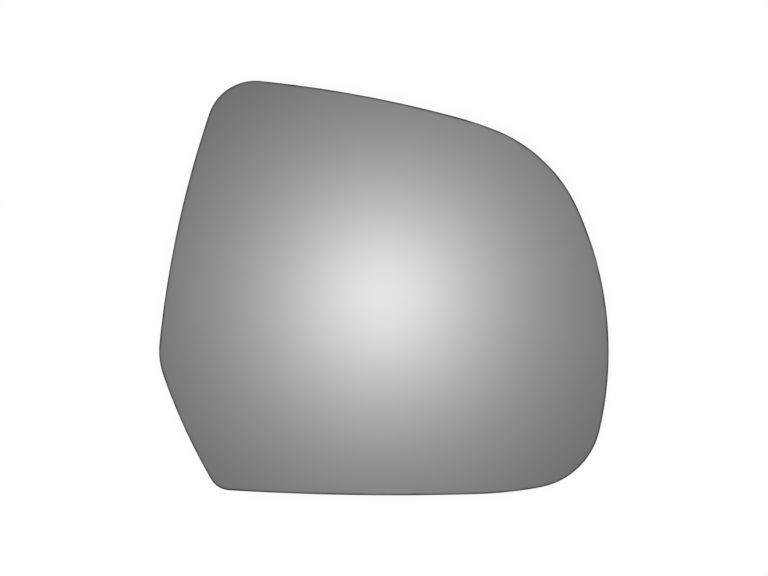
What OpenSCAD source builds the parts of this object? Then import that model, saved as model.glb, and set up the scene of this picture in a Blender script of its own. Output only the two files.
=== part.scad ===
// Convex glass of a car door mirror, for the passenger side.
// It lies on its hollow back with the reflecting face up, and its outline is the one that the driver sees.

/* [Glass] */
// Overall width of the glass
glass_w = 180; // [160:1:200]
// Overall height of the glass
glass_h = 166; // [150:1:182]
// Thickness of the glass
glass_t = 2; // [1.6:0.1:3.2]
// Radius of the domed reflecting face
face_r = 1400; // [1000:10:2000]
// Width of the 45 degree seam ground along both rims of the edge
seam_w = 0.5; // [0.2:0.05:0.7]
// Distance of the dome's axis from the left edge
dome_x = 92; // [80:0.5:104]
// Distance of the dome's axis from the bottom edge
dome_y = 81.7; // [70:0.1:94]

/* [Top side] */
// Radius of the bow of the top side
top_r = 470; // [300:5:700]
// Angle at which the top side starts to fall at the upper left corner
top_fall = 5.75; // [3:0.25:7]
// Radius of the bend that eases the top side into the upper right corner
top_bend_r = 148; // [90:1:180]
// How far that bend draws the upper right corner in from the line of the top side
top_ease = 0.4; // [0.1:0.1:1]

/* [Right side] */
// Height of the widest point of the right side above the bottom edge
right_y = 57.5; // [50:0.5:66]
// Radius of the bow of the right side
right_r = 138; // [125:1:160]

/* [Bottom side] */
// Distance of the lowest point of the bottom side from the left edge
bottom_x = 94.5; // [80:0.5:106]
// Radius of the bow of the bottom side
bottom_r = 890; // [600:10:1100]
// Radius of the bend that eases the bottom side into the lower right corner
bottom_bend_r = 165; // [100:5:220]
// How far that bend draws the lower right corner in from the line of the bottom side
bottom_ease = 1.4; // [0.2:0.1:2]

/* [Left side] */
// Radius of the bow of the long left side
left_r = 412; // [300:2:600]
// Radius of the bow of the slanting lower left side
low_left_r = 242; // [180:2:320]

/* [Corners] */
// Distance of the highest point, on the upper left corner, from the left edge
top_left_x = 38.5; // [32:0.5:44]
// Radius of the upper left corner
top_left_r = 19.5; // [14:0.5:26]
// Height of the point of the left corner above the bottom edge
left_y = 58; // [50:0.5:66]
// Radius of the left corner
left_corner_r = 30.5; // [20:0.5:45]
// Distance from the left edge at which the bottom side meets the lower left corner
bottom_left_x = 28; // [24:0.5:34]
// Radius of the lower left corner
bottom_left_r = 9; // [5:0.5:14]
// Radius of the lower right corner
bottom_right_r = 30; // [20:1:40]
// Radius of the upper right corner
top_right_r = 61; // [50:0.5:70]

/* [Hidden] */
// Radius of the hollow back face
back_r = face_r - glass_t;
// Radius of the sphere on which the outermost line of the edge lies
rim_r = face_r - seam_w;
// Greatest distance between a flat of the ground edge and the arc that it follows
facet_sag = 0.01;
// Border of the bent blank around the finished outline
blank_border = 5;
// How far the body that shapes the edge reaches past the faces of the glass
spare = 2;
// Segments in a full turn of the balls
turn_segments = 512;

// Each stretch of the rim is a circle drawn on the dome. It is kept as the direction of its axis from the
// dome's centre, and as the angle at that centre between the axis and the circle.
function axis_of(rim) = rim[0];
function angle_of(rim) = rim[1];
function unit(v) = v / norm(v);

// Direction from the dome's centre to the rim point above a place measured from the left and bottom edges
function rim_point(x, y) =
    let (flat = [x - dome_x, y - dome_y])
    [flat.x, flat.y, sqrt(rim_r * rim_r - flat * flat)] / rim_r;

// Direction along the dome that leads from a point of it towards a target
function heading(from, target) = unit(target - from * (from * target));

// Point reached from another by turning through an angle towards a target
function travel(from, target, angle) = from * cos(angle) + heading(from, target) * sin(angle);

// Circle of a given radius that touches the rim at a point and lies on the side of the target
function circle_at(point, target, radius) =
    let (angle = asin(radius / rim_r))
    [travel(point, target, angle), angle];

// Circle of a given radius that touches two others, one inside or around the other. Its axis lies to the
// left of the way from the first axis to the second.
function circle_between(first, second, radius) =
    let (
        angle = asin(radius / rim_r),
        a = axis_of(first),
        b = axis_of(second),
        to_a = cos(angle_of(first) - angle),
        to_b = cos(angle_of(second) - angle),
        share = 1 - (a * b) * (a * b),
        level = a * (to_a - (a * b) * to_b) / share + b * (to_b - (a * b) * to_a) / share
    )
    [level + cross(a, b) * sqrt((1 - level * level) / share), angle];

// Circle about the same axis as another and set in from it
function set_in(rim, inset) = [axis_of(rim), angle_of(rim) - asin(inset / rim_r)];

// Point of a circle at a distance from the left edge, on its upper side (1) or its lower side (-1)
function point_at(rim, x, side) =
    let (
        across = (x - dome_x) / rim_r,
        axis = axis_of(rim),
        reach = sqrt(1 - across * across),
        height = (cos(angle_of(rim)) - across * axis.x) / norm([axis.y, axis.z]),
        lean = atan2(axis.y, axis.z) + side * acos(height / reach)
    )
    [across, reach * sin(lean), reach * cos(lean)];

// Point at which two circles touch, one inside the other
function touch_point(first, second) =
    angle_of(first) > angle_of(second)
    ? travel(axis_of(first), axis_of(second), angle_of(first))
    : travel(axis_of(second), axis_of(first), angle_of(second));

// The sides and corners, of which some are placed by the overall size and the others join them
right_side = circle_at(rim_point(glass_w, right_y), [-1, 0, 0], right_r);
bottom_side = circle_at(rim_point(bottom_x, 0), [0, 1, 0], bottom_r);
left_corner = circle_at(rim_point(0, left_y), [1, 0, 0], left_corner_r);
top_left = circle_at(rim_point(top_left_x, glass_h), [0, -1, 0], top_left_r);
top_start = travel(axis_of(top_left), [sin(top_fall), cos(top_fall), 0], angle_of(top_left));
top_side = circle_at(top_start, axis_of(top_left), top_r);
top_right = circle_between(right_side, set_in(top_side, top_ease), top_right_r);
top_bend = circle_between(top_side, top_right, top_bend_r);
left_side = circle_between(top_left, left_corner, left_r);
bottom_left = circle_at(point_at(bottom_side, bottom_left_x, -1), axis_of(bottom_side), bottom_left_r);
low_left_side = circle_between(left_corner, bottom_left, low_left_r);
bottom_right = circle_between(set_in(bottom_side, bottom_ease), right_side, bottom_right_r);
bottom_bend = circle_between(bottom_right, bottom_side, bottom_bend_r);

// Stretches of the rim, anticlockwise from the right side
stretches = [
    right_side,
    top_right,
    top_bend,
    top_side,
    top_left,
    left_side,
    left_corner,
    low_left_side,
    bottom_left,
    bottom_side,
    bottom_bend,
    bottom_right,
];

// Places along one stretch, each as its direction from the dome's centre and the direction that leads inwards
function places_along(before, rim, after) =
    let (
        middle = axis_of(rim),
        start = heading(middle, touch_point(before, rim)),
        quarter = cross(middle, start),
        end = heading(middle, touch_point(rim, after)),
        turn = (atan2(end * quarter, end * start) + 360) % 360,
        radius = rim_r * sin(angle_of(rim)),
        steps = ceil(turn / (2 * acos(1 - facet_sag / radius)))
    )
    [
        for (step = [0 : steps - 1])
        let (
            way = start * cos(turn * step / steps) + quarter * sin(turn * step / steps),
            place = travel(middle, way, angle_of(rim))
        )
        [place, heading(place, middle)]
    ];

// Places along the whole rim
last = len(stretches) - 1;
rim_places = [
    for (i = [0 : last])
    each places_along(stretches[i == 0 ? last : i - 1], stretches[i], stretches[i == last ? 0 : i + 1])
];

// Greatest angle between the dome's axis and the rim, which decides where the glass rests
resting_angle = max([for (place = rim_places) acos(place[0].z)]);
// Height of the crest of the dome above the surface that the glass rests on
glass_depth = face_r - back_r * cos(resting_angle - asin(seam_w / back_r));

// Line around the glass at a distance from the dome's centre, set in from the rim and measured from the crest
function ring(distance, inset) =
    [for (place = rim_places) distance * place[0] + inset * place[1] - [0, 0, face_r]];

// Body to which the edge is ground: it stands square to the glass all the way round, and leans in at
// 45 degrees where it passes the two faces
module edge_body() {
    count = len(rim_places);
    rings = [
        ring(back_r - spare, seam_w + spare),
        ring(back_r + seam_w, 0),
        ring(face_r - seam_w, 0),
        ring(face_r + spare, seam_w + spare),
    ];
    top = len(rings) - 1;
    low_tip = len(rings) * count;
    high_tip = low_tip + 1;
    walls = [
        for (level = [0 : top - 1], i = [0 : count - 1])
        let (low = level * count, high = low + count, next = (i + 1) % count)
        [low + i, high + i, high + next, low + next]
    ];
    floor_fan = [for (i = [0 : count - 1]) [i, (i + 1) % count, low_tip]];
    roof_fan = [for (i = [0 : count - 1]) [top * count + (i + 1) % count, top * count + i, high_tip]];
    polyhedron(
        points = [for (line = rings) each line, [0, 0, -glass_depth - spare], [0, 0, 2 * spare]],
        faces = concat(walls, floor_fan, roof_fan)
    );
}

// Ball about the dome's centre, turned so that its poles lie far from the glass
module dome_ball(radius) {
    translate([0, 0, -face_r])
    rotate([90, 0, 0])
    sphere(r = radius, $fn = turn_segments);
}

// Oblong of bent glass, larger than the outline on every side
module bent_blank() {
    difference() {
        intersection() {
            translate([-dome_x - blank_border, -dome_y - blank_border, -2 * glass_depth])
            cube([glass_w + 2 * blank_border, glass_h + 2 * blank_border, 3 * glass_depth]);
            dome_ball(face_r);
        }
        dome_ball(back_r);
    }
}

module mirror_glass() {
    color("silver")
    translate([dome_x - glass_w / 2, dome_y - glass_h / 2, glass_depth])
    intersection() {
        bent_blank();
        edge_body();
    }
}

mirror_glass();
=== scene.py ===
import math

import bpy
import numpy as np
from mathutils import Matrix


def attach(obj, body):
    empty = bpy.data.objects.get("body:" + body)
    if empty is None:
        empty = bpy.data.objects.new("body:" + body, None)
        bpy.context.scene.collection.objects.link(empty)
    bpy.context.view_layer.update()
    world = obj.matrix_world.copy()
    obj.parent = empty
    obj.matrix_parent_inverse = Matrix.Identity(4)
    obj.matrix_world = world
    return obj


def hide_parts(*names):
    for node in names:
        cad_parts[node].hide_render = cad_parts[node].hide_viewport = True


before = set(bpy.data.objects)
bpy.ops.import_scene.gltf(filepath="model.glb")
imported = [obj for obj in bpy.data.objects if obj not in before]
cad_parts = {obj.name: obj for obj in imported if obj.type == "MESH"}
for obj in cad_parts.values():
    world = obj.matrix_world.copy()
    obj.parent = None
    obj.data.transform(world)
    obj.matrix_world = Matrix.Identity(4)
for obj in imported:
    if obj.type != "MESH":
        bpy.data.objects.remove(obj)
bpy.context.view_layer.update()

# Camera
# It looks straight down on the middle of the outline through a long lens, five metres above the glass, so
# that both faces keep their true outline and nothing but the ceiling shows in the mirror.
CAMERA_HEIGHT = 5.003
OUTLINE_HEIGHT = 0.003
VIEW_WIDTH = 0.3074
VIEW_CENTRE = (0.00004, 0.00001)

camera_data = bpy.data.cameras.new("camera")
camera_data.sensor_width = 36.0
camera_data.lens = camera_data.sensor_width * (CAMERA_HEIGHT - OUTLINE_HEIGHT) / VIEW_WIDTH
camera = bpy.data.objects.new("camera", camera_data)
camera.location = (*VIEW_CENTRE, CAMERA_HEIGHT)
bpy.context.scene.collection.objects.link(camera)
bpy.context.scene.camera = camera

# Glass pane
# The real piece is one pane of 2 mm float glass, sagged over a mould to a shallow dome and metal-coated.
# It is cut to shape and its edge is ground flat, with a narrow 45 degree seam along both rims.
FACE_R = 1.4
GLASS_T = 0.002
BACK_R = FACE_R - GLASS_T
SEAM_W = 0.0005
RIM_R = FACE_R - SEAM_W
WIDTH, HEIGHT = 0.180, 0.166
AXIS_X, AXIS_Y = 0.092, 0.0817


# Circles on the dome, which are the sides and corners of the outline. Each is its axis from the dome's
# centre and the angle there between the axis and the circle.
def unit(v):
    return v / np.linalg.norm(v)


def rim_point(x, y):
    """Direction from the dome's centre to the rim above a place measured from the left and bottom edges."""
    flat = np.array([x - AXIS_X, y - AXIS_Y])
    return np.array([*flat, math.sqrt(RIM_R ** 2 - flat @ flat)]) / RIM_R


def heading(start, target):
    """Direction along the dome that leads from a point of it towards a target."""
    return unit(target - start * (start @ target))


def travel(start, target, angle):
    """Point reached from another by turning through an angle towards a target."""
    return start * math.cos(angle) + heading(start, target) * math.sin(angle)


def circle_at(point, target, radius):
    """Circle of a given radius that touches the rim at a point and lies on the side of the target."""
    angle = math.asin(radius / RIM_R)
    return travel(point, np.array(target), angle), angle


def circle_between(first, second, radius):
    """Circle of a given radius that touches two others, one inside or around the other."""
    angle = math.asin(radius / RIM_R)
    a, b = first[0], second[0]
    to_a, to_b = math.cos(first[1] - angle), math.cos(second[1] - angle)
    share = 1 - (a @ b) ** 2
    level = (a * (to_a - (a @ b) * to_b) + b * (to_b - (a @ b) * to_a)) / share
    return level + np.cross(a, b) * math.sqrt((1 - level @ level) / share), angle


def set_in(circle, inset):
    """Circle about the same axis as another and set in from it."""
    return circle[0], circle[1] - math.asin(inset / RIM_R)


def touch_point(first, second):
    """Point at which two circles touch, one inside the other."""
    if first[1] > second[1]:
        return travel(first[0], second[0], first[1])
    return travel(second[0], first[0], second[1])


def lower_point(circle, x):
    """Point on a circle's lower side at a distance from the left edge."""
    axis, across = circle[0], (x - AXIS_X) / RIM_R
    reach = math.sqrt(1 - across ** 2)
    height = (math.cos(circle[1]) - across * axis[0]) / math.hypot(axis[1], axis[2])
    lean = math.atan2(axis[1], axis[2]) - math.acos(height / reach)
    return np.array([across, reach * math.sin(lean), reach * math.cos(lean)])


# The outline: places along the width and height, falls, and the radii of the sides, bends and corners
TOP_FALL, TOP_R = math.radians(5.75), 0.470
TOP_BEND_R, TOP_EASE, TOP_RIGHT_R = 0.148, 0.0004, 0.061
RIGHT_Y, RIGHT_R = 0.0575, 0.138
BOTTOM_X, BOTTOM_R = 0.0945, 0.890
BOTTOM_BEND_R, BOTTOM_EASE, BOTTOM_RIGHT_R = 0.165, 0.0014, 0.030
BOTTOM_LEFT_X, BOTTOM_LEFT_R = 0.028, 0.009
LOW_LEFT_R = 0.242
LEFT_Y, LEFT_CORNER_R = 0.058, 0.0305
LEFT_R = 0.412
TOP_LEFT_X, TOP_LEFT_R = 0.0385, 0.0195
right_side = circle_at(rim_point(WIDTH, RIGHT_Y), (-1, 0, 0), RIGHT_R)
bottom_side = circle_at(rim_point(BOTTOM_X, 0), (0, 1, 0), BOTTOM_R)
left_corner = circle_at(rim_point(0, LEFT_Y), (1, 0, 0), LEFT_CORNER_R)
top_left = circle_at(rim_point(TOP_LEFT_X, HEIGHT), (0, -1, 0), TOP_LEFT_R)
top_start = travel(top_left[0], np.array([math.sin(TOP_FALL), math.cos(TOP_FALL), 0]), top_left[1])
top_side = circle_at(top_start, top_left[0], TOP_R)
top_right = circle_between(right_side, set_in(top_side, TOP_EASE), TOP_RIGHT_R)
top_bend = circle_between(top_side, top_right, TOP_BEND_R)
left_side = circle_between(top_left, left_corner, LEFT_R)
bottom_left = circle_at(lower_point(bottom_side, BOTTOM_LEFT_X), bottom_side[0], BOTTOM_LEFT_R)
low_left_side = circle_between(left_corner, bottom_left, LOW_LEFT_R)
bottom_right = circle_between(set_in(bottom_side, BOTTOM_EASE), right_side, BOTTOM_RIGHT_R)
bottom_bend = circle_between(bottom_right, bottom_side, BOTTOM_BEND_R)
stretches = [
    right_side, top_right, top_bend, top_side, top_left, left_side,
    left_corner, low_left_side, bottom_left, bottom_side, bottom_bend, bottom_right,
]

# The rim is walked in even steps of its length plus an allowance for its turning, so that the corners get
# more points
RIM_POINTS = 384
TURN_ALLOWANCE = 0.06
arcs, measure, length = [], [0.0], [0.0]
for before, circle, after in zip(stretches[-1:] + stretches, stretches, stretches[1:] + stretches[:1]):
    middle = circle[0]
    start = heading(middle, touch_point(before, circle))
    quarter = np.cross(middle, start)
    end = heading(middle, touch_point(circle, after))
    turn = math.atan2(end @ quarter, end @ start) % (2 * math.pi)
    arc_length = turn * RIM_R * math.sin(circle[1])
    arcs.append((middle, start, quarter, circle[1], turn))
    measure.append(measure[-1] + arc_length + TURN_ALLOWANCE * turn)
    length.append(length[-1] + arc_length)

places, inwards, runs = [], [], []
for step in range(RIM_POINTS):
    at = measure[-1] * step / RIM_POINTS
    i = max(k for k in range(len(arcs)) if measure[k] <= at)
    middle, start, quarter, angle, turn = arcs[i]
    share = (at - measure[i]) / (measure[i + 1] - measure[i])
    way = start * math.cos(turn * share) + quarter * math.sin(turn * share)
    place = travel(middle, way, angle)
    places.append(place)
    inwards.append(heading(place, middle))
    runs.append(length[i] + (length[i + 1] - length[i]) * share)
places, inwards = np.array(places), np.array(inwards)

# The upper seam is ground by hand on a belt, so its width wanders over waves of 10 to 80 mm
SEAM_WANDER = 0.12
around = 2 * math.pi / length[-1]
draw = np.random.default_rng(5)
waves = np.arange(7, 57)
phases = draw.uniform(0, 2 * math.pi, len(waves))
wander = np.cos(np.outer(runs, waves * around) + phases).sum(axis=1) / math.sqrt(len(waves) / 2)
upper_seams = SEAM_W * (1 + SEAM_WANDER * wander)

# The section of the ground edge, from the reflecting face round to the back. Each row is the distance from
# the dome's centre, the inset from the rim, and the turn of the surface away from the face's own direction.
# Its four corners are rounded arrises, at each of which the surface bends by 45 degrees.
ARRIS = 0.00008
SLANT = ARRIS / math.sqrt(2)
HALF_BEND = 22.5
BORDER = 0.0004


def rounded(corner, before, after, lean):
    """Three rows of the section in place of a sharp corner between the ways to two neighbours."""
    first = np.array(corner) + before
    last = np.array(corner) + after
    crest = (first + last) / 4 + np.array(corner) / 2
    return [(*first, lean - HALF_BEND), (*crest, lean), (*last, lean + HALF_BEND)]


def edge_section(upper_seam):
    """The rows of the ground edge, between one row on each face a narrow border away from it."""
    return [
        (FACE_R, upper_seam + ARRIS + BORDER, 0.0),
        *rounded((FACE_R, upper_seam), (0, ARRIS), (-SLANT, -SLANT), HALF_BEND),
        *rounded((FACE_R - upper_seam, 0), (SLANT, SLANT), (-ARRIS, 0), 3 * HALF_BEND),
        *rounded((BACK_R + SEAM_W, 0), (ARRIS, 0), (-SLANT, SLANT), 5 * HALF_BEND),
        *rounded((BACK_R, SEAM_W), (SLANT, -SLANT), (0, ARRIS), 7 * HALF_BEND),
        (BACK_R, SEAM_W + ARRIS + BORDER, 8 * HALF_BEND),
    ]


# The two faces share one pattern of squares: a block in the middle, and rings from it out to the rim
BLOCK = RIM_POINTS // 4
BLOCK_HALF = 0.040
BLOCK_BULGE = 0.35
RINGS = 14
FAR_FROM_RIM = 1.0
vertices, normals, rim_gap, along = [], [], [], []


def add_vertex(point, normal, gap, run):
    vertices.append(point)
    normals.append(normal)
    rim_gap.append(gap)
    along.append(run)
    return len(vertices) - 1


def on_face(flat, radius, side, gap):
    """A vertex of a face above a place given from the dome's axis."""
    point = np.array([flat[0], flat[1], math.sqrt(radius ** 2 - flat[0] ** 2 - flat[1] ** 2)])
    return add_vertex(point, side * point / radius, gap, (0.0, 0.0, 0.0))


def block_place(i, j):
    """A place of the middle block, which bows out on all four sides."""
    u, v = 2 * i / BLOCK - 1, 2 * j / BLOCK - 1
    bulge_u, bulge_v = 1 + BLOCK_BULGE * (1 - v * v), 1 + BLOCK_BULGE * (1 - u * u)
    return BLOCK_HALF * np.array([u * bulge_u, v * bulge_v])


# A row's depth is its distance along the section from where the ground edge begins
even_section = edge_section(SEAM_W)
sections = [edge_section(upper_seam) for upper_seam in upper_seams]
edge_rows, depths = [], []
across = -BORDER
for row, even in enumerate(even_section):
    across += math.dist(even[:2], even_section[max(row - 1, 0)][:2])
    depths.append(across)
    edge_rows.append([])
    for place, inward, run, section in zip(places, inwards, runs, sections):
        distance, inset, lean = section[row]
        lean = math.radians(lean)
        edge_rows[row].append(add_vertex(
            place * distance + inward * inset,
            unit(place * math.cos(lean) - inward * math.sin(lean)),
            inset,
            (math.cos(run * around) / around, math.sin(run * around) / around, across),
        ))
SECTION_LENGTH = depths[-2]

# The pane's skin is also laid out flat in a square, on which its colours are drawn: the two faces side by
# side, and below them the edge with its borders, in nine bands as wide as the square. The bands are
# drawn larger than the faces, so that the fine lines of the edge stay sharp.
SKIN_MAP = "OFBake"
SKIN_GAP = 0.009
BANDS = 9
FACE_SCALE = (1 - 3 * SKIN_GAP) / (2 * WIDTH)
band_length = length[-1] / BANDS
run_ends = runs[1:] + length[-1:]
longest_step = max(end - run for run, end in zip(runs, run_ends))
edge_scale = (1 - 2 * SKIN_GAP) / (band_length + longest_step)
band_height = edge_scale * (depths[-1] - depths[0])
faces, slots, skin = [], [], []


def add_face(corners, slot, side):
    """A quad of the reflecting face (side 1) or the back (side -1), each seen from outside on the skin."""
    faces.append(corners[::side])
    slots.append(slot)
    left = SKIN_GAP if side > 0 else (1 + SKIN_GAP) / 2
    left_to_axis = AXIS_X if side > 0 else WIDTH - AXIS_X
    for corner in faces[-1]:
        x, y = vertices[corner][:2]
        from_left, from_top = left_to_axis + side * x, HEIGHT - AXIS_Y - y
        skin.append((left + FACE_SCALE * from_left, 1 - SKIN_GAP - FACE_SCALE * from_top))


FACE_SLOT, EDGE_SLOT, BACK_SLOT = 0, 1, 2
for row, (upper, lower) in enumerate(zip(edge_rows, edge_rows[1:])):
    slot = FACE_SLOT if row == 0 else BACK_SLOT if lower is edge_rows[-1] else EDGE_SLOT
    for k in range(RIM_POINTS):
        nxt = (k + 1) % RIM_POINTS
        faces.append([upper[k], lower[k], lower[nxt], upper[nxt]])
        slots.append(slot)
        band = int(runs[k] / band_length)
        start, end = (SKIN_GAP + edge_scale * (run - band * band_length) for run in (runs[k], run_ends[k]))
        foot = SKIN_GAP + band * (SKIN_GAP + band_height)
        high, low = (foot + edge_scale * (depths[-1] - depth) for depth in depths[row:row + 2])
        skin += [(start, high), (start, low), (end, low), (end, high)]

# The block's boundary, anticlockwise, starting on the side that faces the outline's first point
boundary = (
    [(BLOCK, j) for j in range(BLOCK)] + [(BLOCK - i, BLOCK) for i in range(BLOCK)]
    + [(0, BLOCK - j) for j in range(BLOCK)] + [(i, 0) for i in range(BLOCK)]
)
# Each corner of the block is joined to the rim as nearly as can be at the corner's own bearing
CORNER_BEARINGS = (-45, 45, 135, 225)
bearings = [math.atan2(p[1], p[0]) for p in places]
offset = min(
    range(RIM_POINTS),
    key=lambda k: sum(
        abs(math.remainder(bearings[(k + i * BLOCK) % RIM_POINTS] - math.radians(angle), 2 * math.pi))
        for i, angle in enumerate(CORNER_BEARINGS)
    ),
)
for radius, side, rim_row, slot in (
    (FACE_R, 1, edge_rows[0], FACE_SLOT),
    (BACK_R, -1, edge_rows[-1], BACK_SLOT),
):
    rim = [rim_row[(offset + k) % RIM_POINTS] for k in range(RIM_POINTS)]
    block = {}
    for i in range(BLOCK + 1):
        for j in range(BLOCK + 1):
            block[i, j] = on_face(block_place(i, j), radius, side, FAR_FROM_RIM)
    for i in range(BLOCK):
        for j in range(BLOCK):
            add_face([block[i, j], block[i + 1, j], block[i + 1, j + 1], block[i, j + 1]], slot, side)
    rows = [[block[place] for place in boundary]]
    for ring in range(1, RINGS):
        share = ring / RINGS
        rows.append([
            on_face(
                (1 - share) * vertices[rows[0][k]][:2] + share * vertices[rim[k]][:2], radius, side,
                (1 - share) * np.linalg.norm(vertices[rim[k]] - vertices[rows[0][k]]) + rim_gap[rim[k]],
            )
            for k in range(RIM_POINTS)
        ])
    rows.append(rim)
    for inner, outer in zip(rows, rows[1:]):
        for k in range(RIM_POINTS):
            nxt = (k + 1) % RIM_POINTS
            add_face([inner[k], outer[k], outer[nxt], inner[nxt]], slot, side)

# The pane rests on the inner line of its lower seam, at the corner farthest from the dome's axis
resting_angle = math.acos(places[:, 2].min()) - math.asin(SEAM_W / BACK_R)
dome_centre = (AXIS_X - WIDTH / 2, AXIS_Y - HEIGHT / 2, -BACK_R * math.cos(resting_angle))
vertices = np.array(vertices) + dome_centre

mesh = bpy.data.meshes.new("mirror_pane")
mesh.from_pydata(vertices.tolist(), [], faces)
mesh.polygons.foreach_set("material_index", slots)
mesh.polygons.foreach_set("use_smooth", [True] * len(faces))
mesh.attributes.new("rim_gap", "FLOAT", "POINT").data.foreach_set("value", rim_gap)
along_edge = mesh.attributes.new("along_edge", "FLOAT_VECTOR", "POINT")
along_edge.data.foreach_set("vector", np.array(along).ravel())
mesh.uv_layers.new(name=SKIN_MAP).uv.foreach_set("vector", np.array(skin).ravel())
mesh.normals_split_custom_set_from_vertices(np.array(normals).tolist())
mesh.validate()
mesh.update()
pane = bpy.data.objects.new("mirror_pane", mesh)
bpy.context.scene.collection.objects.link(pane)


def linear(colour):
    """The linear value of an sRGB hex colour."""
    parts = [int(colour[k:k + 2], 16) / 255 for k in (1, 3, 5)]
    return (*(p / 12.92 if p <= 0.04045 else ((p + 0.055) / 1.055) ** 2.4 for p in parts), 1.0)


def add_node(tree, kind, settings=None, **inputs):
    """Adds a node with its settings. Inputs are named, or i0, i1 and so on; each is a value or a socket."""
    node = tree.nodes.new(kind)
    for name, value in (settings or {}).items():
        setattr(node, name, value)
    for name, value in inputs.items():
        key = int(name[1:]) if name[0] == "i" and name[1:].isdigit() else name.replace("_", " ")
        if isinstance(value, bpy.types.NodeSocket):
            tree.links.new(value, node.inputs[key])
        else:
            node.inputs[key].default_value = value
    return node


def new_material(name):
    material = bpy.data.materials.new(name)
    material.use_nodes = True
    material.node_tree.nodes.clear()
    pane.data.materials.append(material)
    return material.node_tree


# Coated float glass: fire-polished glass over an evaporated metal film. It gives a neutral, slightly dark
# mirror image, with the glass's own face as a clear coat over the metal.
tree = new_material("coated_float_glass")
FILM = linear("#e6e6e6")
THIN_FILM = linear("#e2e2e2")
GLASS_IOR = 1.52
position = add_node(tree, "ShaderNodeTexCoord").outputs["Object"]
# The film is a little thicker here and there, in clouds as wide as the metal's plume in the vacuum chamber
CLOUD_SIZE = 0.045
cloud = add_node(
    tree, "ShaderNodeTexNoise", Vector=position, Scale=1 / CLOUD_SIZE, Detail=2.0, Roughness=0.4,
).outputs["Fac"]
film = add_node(
    tree, "ShaderNodeMix", {"data_type": "RGBA"}, i0=cloud, i6=FILM, i7=THIN_FILM,
).outputs[2]
# The film is darker over the last millimetre before the ground edge
RIM_DARK_FILM = linear("#d4d5d4")
RIM_DARK_WIDTH = 0.0012
gap = add_node(tree, "ShaderNodeAttribute", {"attribute_name": "rim_gap"}).outputs["Fac"]
near_rim = add_node(
    tree, "ShaderNodeMapRange", {"interpolation_type": "SMOOTHSTEP"},
    Value=gap, From_Min=SEAM_W, From_Max=SEAM_W + RIM_DARK_WIDTH, To_Min=1.0, To_Max=0.0,
).outputs["Result"]
film = add_node(
    tree, "ShaderNodeMix", {"data_type": "RGBA"}, i0=near_rim, i6=film, i7=RIM_DARK_FILM,
).outputs[2]
# The pane keeps a long, shallow wave from the mould, a few micrometres deep
WAVE_LENGTH, WAVE_DEPTH = 0.032, 3e-6
wave = add_node(
    tree, "ShaderNodeTexNoise", Vector=position, Scale=1 / WAVE_LENGTH, Detail=1.0, Roughness=0.3,
).outputs["Fac"]
wave_bump = add_node(
    tree, "ShaderNodeBump", Height=wave, Strength=1.0, Distance=WAVE_DEPTH,
).outputs["Normal"]
# A trace of polishing haze dulls the image unevenly. Nearly all of a noise lies between the low and the
# high value.
HAZE_SIZE = 0.018
CLEAR_ROUGHNESS, HAZY_ROUGHNESS = 0.018, 0.03
NOISE_LOW, NOISE_HIGH = 0.3, 0.7
haze = add_node(
    tree, "ShaderNodeTexNoise", Vector=position, Scale=1 / HAZE_SIZE, Detail=4.0, Roughness=0.6,
).outputs["Fac"]
gloss = add_node(
    tree, "ShaderNodeMapRange",
    Value=haze, From_Min=NOISE_LOW, From_Max=NOISE_HIGH, To_Min=CLEAR_ROUGHNESS, To_Max=HAZY_ROUGHNESS,
).outputs["Result"]
shader = add_node(
    tree, "ShaderNodeBsdfPrincipled", Base_Color=film, Metallic=1.0, Roughness=gloss, Normal=wave_bump,
    Coat_Weight=1.0, Coat_Roughness=0.012, Coat_IOR=GLASS_IOR,
)
add_node(tree, "ShaderNodeOutputMaterial", Surface=shader.outputs["BSDF"])

# Ground float glass: cut by a diamond wheel and left unpolished. The flat is frosted and pale grey green,
# because light leaks out of the pane there. The seams are dark, because they show the lacquer behind.
tree = new_material("ground_glass_edge")
UPPER_SEAM = linear("#232524")
FLAT = linear("#7d8883")
LOWER_SEAM = linear("#555b58")
# A painted highlight for the two arrises beside the flat
ARRIS_HIGHLIGHT = linear("#9aa39f")
place = add_node(tree, "ShaderNodeAttribute", {"attribute_name": "along_edge"}).outputs["Vector"]
across = add_node(tree, "ShaderNodeSeparateXYZ", Vector=place).outputs["Z"]
share = add_node(
    tree, "ShaderNodeMath", {"operation": "DIVIDE"}, i0=across, i1=SECTION_LENGTH,
).outputs["Value"]
zones = add_node(tree, "ShaderNodeValToRGB", Fac=share)
# The stops are shares of the section from the reflecting face to the back. The two arrises beside the flat
# get pale lines: a painted highlight, where they would catch the light.
stops = zones.color_ramp.elements
stops[0].color, stops[1].color = UPPER_SEAM, LOWER_SEAM
for at, colour in (
    (0.33, UPPER_SEAM), (0.36, ARRIS_HIGHLIGHT), (0.40, FLAT),
    (0.61, FLAT), (0.65, ARRIS_HIGHLIGHT), (0.69, LOWER_SEAM),
):
    stops.new(at).color = colour
# The wheel wears and is dressed again, so the frosting is whiter on some stretches than on others
FROSTED = linear("#a3aba7")
DRESSING = 0.012
along_rim = add_node(
    tree, "ShaderNodeMapping", Vector=place, Scale=(1 / DRESSING, 1 / DRESSING, 0.0),
).outputs["Vector"]
dressing = add_node(
    tree, "ShaderNodeTexNoise", Vector=along_rim, Scale=1.0, Detail=3.0, Roughness=0.6,
).outputs["Fac"]
frosted = add_node(
    tree, "ShaderNodeMapRange", Value=dressing, From_Min=0.4, From_Max=0.75, To_Min=0.0, To_Max=0.25,
).outputs["Result"]
ground = add_node(
    tree, "ShaderNodeMix", {"data_type": "RGBA"}, i0=frosted, i6=zones.outputs["Color"], i7=FROSTED,
).outputs[2]
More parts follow.
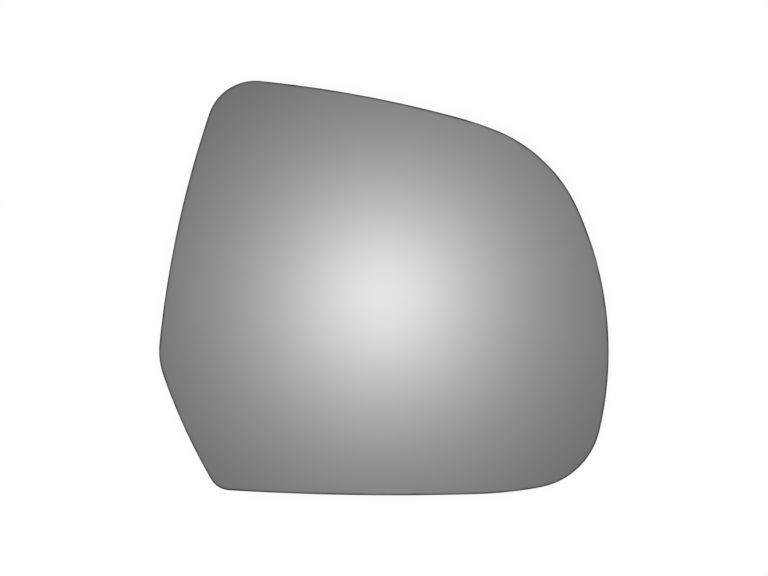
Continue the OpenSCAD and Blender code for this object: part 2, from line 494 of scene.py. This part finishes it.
# Grooves run along the edge with the wheel. They are 0.05 mm wide, and drawn 0.15 mm wide to show.
GROOVE_LENGTH, GROOVE_WIDTH = 0.008, 0.00015
along_wheel = add_node(
    tree, "ShaderNodeMapping",
    Vector=place, Scale=(1 / GROOVE_LENGTH, 1 / GROOVE_LENGTH, 1 / GROOVE_WIDTH),
).outputs["Vector"]
grooves = add_node(
    tree, "ShaderNodeTexNoise", Vector=along_wheel, Scale=1.0, Detail=3.0, Roughness=0.6,
).outputs["Fac"]
# The frosting is made of pits as small as the wheel's grit, 0.1 mm, and they are drawn 0.3 mm wide to show
PIT_SIZE, RELIEF_DEPTH = 0.0003, 4e-5
pits = add_node(
    tree, "ShaderNodeTexNoise", Vector=place, Scale=1 / PIT_SIZE, Detail=2.0, Roughness=0.6,
).outputs["Fac"]
relief = add_node(
    tree, "ShaderNodeMath", {"operation": "ADD"}, i0=grooves, i1=pits,
).outputs["Value"]
# Painted light and shade on the relief: what stands high is painted paler and what lies low darker, by up
# to this share
RELIEF_SHADE_SWING = 0.3
relief_shading = add_node(
    tree, "ShaderNodeMapRange", Value=relief, From_Min=1 - RELIEF_SHADE_SWING, From_Max=1 + RELIEF_SHADE_SWING,
    To_Min=1 - RELIEF_SHADE_SWING, To_Max=1 + RELIEF_SHADE_SWING,
).outputs["Result"]
ground = add_node(tree, "ShaderNodeHueSaturation", Value=relief_shading, Color=ground).outputs["Color"]
ground_bump = add_node(
    tree, "ShaderNodeBump", Height=relief, Strength=1.0, Distance=RELIEF_DEPTH,
).outputs["Normal"]
shader = add_node(
    tree, "ShaderNodeBsdfPrincipled", Base_Color=ground, Roughness=0.55, IOR=GLASS_IOR, Normal=ground_bump,
)
add_node(tree, "ShaderNodeOutputMaterial", Surface=shader.outputs["BSDF"])

# Sprayed lacquer: a grey two-pack paint that guards the metal film from behind. It dries to a satin skin
# with the shallow orange peel of a spray gun, about 1.5 mm from dimple to dimple.
tree = new_material("sprayed_grey_lacquer")
LACQUER = linear("#6d7071")
THIN_LACQUER = linear("#797c7d")
position = add_node(tree, "ShaderNodeTexCoord").outputs["Object"]
# The gun goes to and fro across the width, in passes 35 mm apart
PASS_LENGTH, PASS_WIDTH = 0.120, 0.035
along_passes = add_node(
    tree, "ShaderNodeMapping", Vector=position, Scale=(1 / PASS_LENGTH, 1 / PASS_WIDTH, 1.0),
).outputs["Vector"]
passes = add_node(
    tree, "ShaderNodeTexNoise", Vector=along_passes, Scale=1.0, Detail=3.0, Roughness=0.5,
).outputs["Fac"]
thinness = add_node(
    tree, "ShaderNodeMapRange", Value=passes, From_Min=NOISE_LOW, From_Max=NOISE_HIGH,
).outputs["Result"]
lacquer = add_node(
    tree, "ShaderNodeMix", {"data_type": "RGBA"}, i0=thinness, i6=LACQUER, i7=THIN_LACQUER,
).outputs[2]
# It ends in a mist of droplets over the last 2.5 mm before the edge, half a millimetre across
BARE_GLASS = linear("#474d4b")
MIST_WIDTH, DROPLET_SIZE = 0.0025, 0.0005
gap = add_node(tree, "ShaderNodeAttribute", {"attribute_name": "rim_gap"}).outputs["Fac"]
droplets = add_node(
    tree, "ShaderNodeTexNoise", Vector=position, Scale=1 / DROPLET_SIZE, Detail=1.0, Roughness=0.5,
).outputs["Fac"]
mist = add_node(
    tree, "ShaderNodeMapRange",
    Value=gap, From_Min=SEAM_W, From_Max=SEAM_W + MIST_WIDTH, To_Min=0.5, To_Max=-0.5,
).outputs["Result"]
bare = add_node(
    tree, "ShaderNodeMath", {"operation": "ADD", "use_clamp": True}, i0=droplets, i1=mist,
).outputs["Value"]
bare = add_node(
    tree, "ShaderNodeMapRange", {"interpolation_type": "SMOOTHSTEP"},
    Value=bare, From_Min=0.45, From_Max=0.75,
).outputs["Result"]
lacquer = add_node(
    tree, "ShaderNodeMix", {"data_type": "RGBA"}, i0=bare, i6=lacquer, i7=BARE_GLASS,
).outputs[2]
# Dust settles in the wet paint as nibs 0.5 mm across, one every 25 mm or so, twice as high as the peel
PEEL_SIZE, PEEL_DEPTH = 0.0015, 4e-5
NIB_SPACING, NIB_R, NIB_RISE = 0.025, 0.00025, 2.0
peel = add_node(
    tree, "ShaderNodeTexNoise", Vector=position, Scale=1 / PEEL_SIZE, Detail=1.0, Roughness=0.4,
).outputs["Fac"]
to_nib = add_node(
    tree, "ShaderNodeTexVoronoi", {"voronoi_dimensions": "2D"}, Vector=position, Scale=1 / NIB_SPACING,
).outputs["Distance"]
nib = add_node(
    tree, "ShaderNodeMapRange", {"interpolation_type": "SMOOTHSTEP"},
    Value=to_nib, From_Min=0.0, From_Max=NIB_R / NIB_SPACING, To_Min=NIB_RISE, To_Max=0.0,
).outputs["Result"]
paint_skin = add_node(tree, "ShaderNodeMath", {"operation": "ADD"}, i0=peel, i1=nib).outputs["Value"]
skin_bump = add_node(
    tree, "ShaderNodeBump", Height=paint_skin, Strength=1.0, Distance=PEEL_DEPTH,
).outputs["Normal"]
# Where a pass is thin it dries duller
SATIN_ROUGHNESS, DULL_ROUGHNESS = 0.38, 0.5
sheen = add_node(
    tree, "ShaderNodeMapRange",
    Value=passes, From_Min=NOISE_LOW, From_Max=NOISE_HIGH, To_Min=SATIN_ROUGHNESS, To_Max=DULL_ROUGHNESS,
).outputs["Result"]
shader = add_node(
    tree, "ShaderNodeBsdfPrincipled", Base_Color=lacquer, Roughness=sheen, IOR=1.5, Normal=skin_bump,
)
add_node(tree, "ShaderNodeOutputMaterial", Surface=shader.outputs["BSDF"])

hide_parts("mirror_glass")
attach(pane, "root")

# Table
# A wide sheet of matt white paper under the glass. The camera and the glass see it as the white
# background, and it still takes the glass's shadow.
TABLE_HALF = 3.0
PAPER = linear("#ffffff")
PAPER_GLOW = 0.9
mesh = bpy.data.meshes.new("table")
corners = [(x * TABLE_HALF, y * TABLE_HALF, 0) for x, y in ((-1, -1), (1, -1), (1, 1), (-1, 1))]
mesh.from_pydata(corners, [], [(0, 1, 2, 3)])
table = bpy.data.objects.new("table", mesh)
bpy.context.scene.collection.objects.link(table)
material = bpy.data.materials.new("white_paper")
material.use_nodes = True
tree = material.node_tree
tree.nodes.clear()
mesh.materials.append(material)


def seen_directly(tree):
    """1 for what the camera, a mirror or clear glass sees, and 0 for what only lights the object."""
    path = add_node(tree, "ShaderNodeLightPath").outputs
    seen = add_node(
        tree, "ShaderNodeMath", {"operation": "MAXIMUM"},
        i0=path["Is Camera Ray"], i1=path["Is Glossy Ray"],
    ).outputs["Value"]
    return add_node(
        tree, "ShaderNodeMath", {"operation": "MAXIMUM"}, i0=seen, i1=path["Is Transmission Ray"],
    ).outputs["Value"]


paper = add_node(tree, "ShaderNodeBsdfDiffuse", Color=PAPER).outputs["BSDF"]
glow = add_node(tree, "ShaderNodeEmission", Color=PAPER, Strength=1.0).outputs["Emission"]
glow_share = add_node(
    tree, "ShaderNodeMath", {"operation": "MULTIPLY"}, i0=seen_directly(tree), i1=PAPER_GLOW,
).outputs["Value"]
mixed = add_node(tree, "ShaderNodeMixShader", Fac=glow_share, i1=paper, i2=glow).outputs["Shader"]
add_node(tree, "ShaderNodeOutputMaterial", Surface=mixed)

# Studio
# A grey ceiling with one round lamp behind a diffuser straight above, and pale walls with a soft box in
# each of the four corners. Only the mirror image shows them: all else is lit plainly and evenly in white.
LAMP_WAY = (-0.00336, -0.00432, 1.0)
LAMP_LEVEL = 0.9863
LAMP_SPREAD = 0.00241
LAMP_FALL = 0.8065
CEILING_LEVEL = 0.18
CEILING_BLEND = 0.04
WALL_RISE = 1.6
WALL_LEVEL = 0.58
SOFT_BOX_LEVEL = 0.92
world = bpy.data.worlds.new("studio")
bpy.context.scene.world = world
world.use_nodes = True
tree = world.node_tree
tree.nodes.clear()

# The lamp's glow falls off with the angle from its middle, until the ceiling takes over
way = add_node(tree, "ShaderNodeTexCoord").outputs["Generated"]
lamp_way = [part / math.hypot(*LAMP_WAY) for part in LAMP_WAY]
towards_lamp = add_node(
    tree, "ShaderNodeVectorMath", {"operation": "DOT_PRODUCT"}, i0=way, i1=lamp_way,
).outputs["Value"]
off_lamp = add_node(
    tree, "ShaderNodeMath", {"operation": "SUBTRACT"}, i0=1.0, i1=towards_lamp,
).outputs["Value"]
spread = add_node(
    tree, "ShaderNodeMath", {"operation": "MULTIPLY_ADD"}, i0=off_lamp, i1=1 / LAMP_SPREAD, i2=1.0,
).outputs["Value"]
fall = add_node(
    tree, "ShaderNodeMath", {"operation": "POWER"}, i0=spread, i1=-LAMP_FALL,
).outputs["Value"]
lamp = add_node(
    tree, "ShaderNodeMath", {"operation": "MULTIPLY"}, i0=fall, i1=LAMP_LEVEL,
).outputs["Value"]
overhead = add_node(
    tree, "ShaderNodeMath", {"operation": "SMOOTH_MAX"}, i0=lamp, i1=CEILING_LEVEL, i2=CEILING_BLEND,
).outputs["Value"]

# The soft boxes are brightest where the two level parts of a direction are equal, which is in the corners.
# Their product over the squared level reach is half there, and its square a quarter.
CORNER_SQUARED = 0.25
parts = add_node(tree, "ShaderNodeSeparateXYZ", Vector=way).outputs
east_north = add_node(
    tree, "ShaderNodeMath", {"operation": "MULTIPLY"}, i0=parts["X"], i1=parts["Y"],
).outputs["Value"]
rise_squared = add_node(
    tree, "ShaderNodeMath", {"operation": "MULTIPLY"}, i0=parts["Z"], i1=parts["Z"],
).outputs["Value"]
reach_squared = add_node(
    tree, "ShaderNodeMath", {"operation": "SUBTRACT"}, i0=1.0, i1=rise_squared,
).outputs["Value"]
cornering = add_node(
    tree, "ShaderNodeMath", {"operation": "DIVIDE"}, i0=east_north, i1=reach_squared,
).outputs["Value"]
cornering_squared = add_node(
    tree, "ShaderNodeMath", {"operation": "MULTIPLY"}, i0=cornering, i1=cornering,
).outputs["Value"]
around_room = add_node(
    tree, "ShaderNodeMapRange",
    Value=cornering_squared, From_Min=0.0, From_Max=CORNER_SQUARED, To_Min=WALL_LEVEL,
    To_Max=SOFT_BOX_LEVEL,
).outputs["Result"]

# The walls come in from the ceiling down to the floor
above_floor = add_node(
    tree, "ShaderNodeMath", {"operation": "MAXIMUM"}, i0=parts["Z"], i1=0.0,
).outputs["Value"]
off_zenith = add_node(
    tree, "ShaderNodeMath", {"operation": "SUBTRACT"}, i0=1.0, i1=above_floor,
).outputs["Value"]
walled = add_node(
    tree, "ShaderNodeMath", {"operation": "POWER"}, i0=off_zenith, i1=WALL_RISE,
).outputs["Value"]
room = add_node(
    tree, "ShaderNodeMix", {"data_type": "FLOAT"}, i0=walled, i2=overhead, i3=around_room,
).outputs[0]
path = add_node(tree, "ShaderNodeLightPath").outputs
mirrored = add_node(
    tree, "ShaderNodeMath", {"operation": "MAXIMUM"},
    i0=path["Is Glossy Ray"], i1=path["Is Transmission Ray"],
).outputs["Value"]
level = add_node(tree, "ShaderNodeMix", {"data_type": "FLOAT"}, i0=mirrored, i2=1.0, i3=room).outputs[0]
light = add_node(tree, "ShaderNodeBackground", Color=(1.0, 1.0, 1.0, 1.0), Strength=level)
add_node(tree, "ShaderNodeOutputWorld", Surface=light.outputs["Background"])

bpy.context.scene.view_settings.view_transform = "Standard"
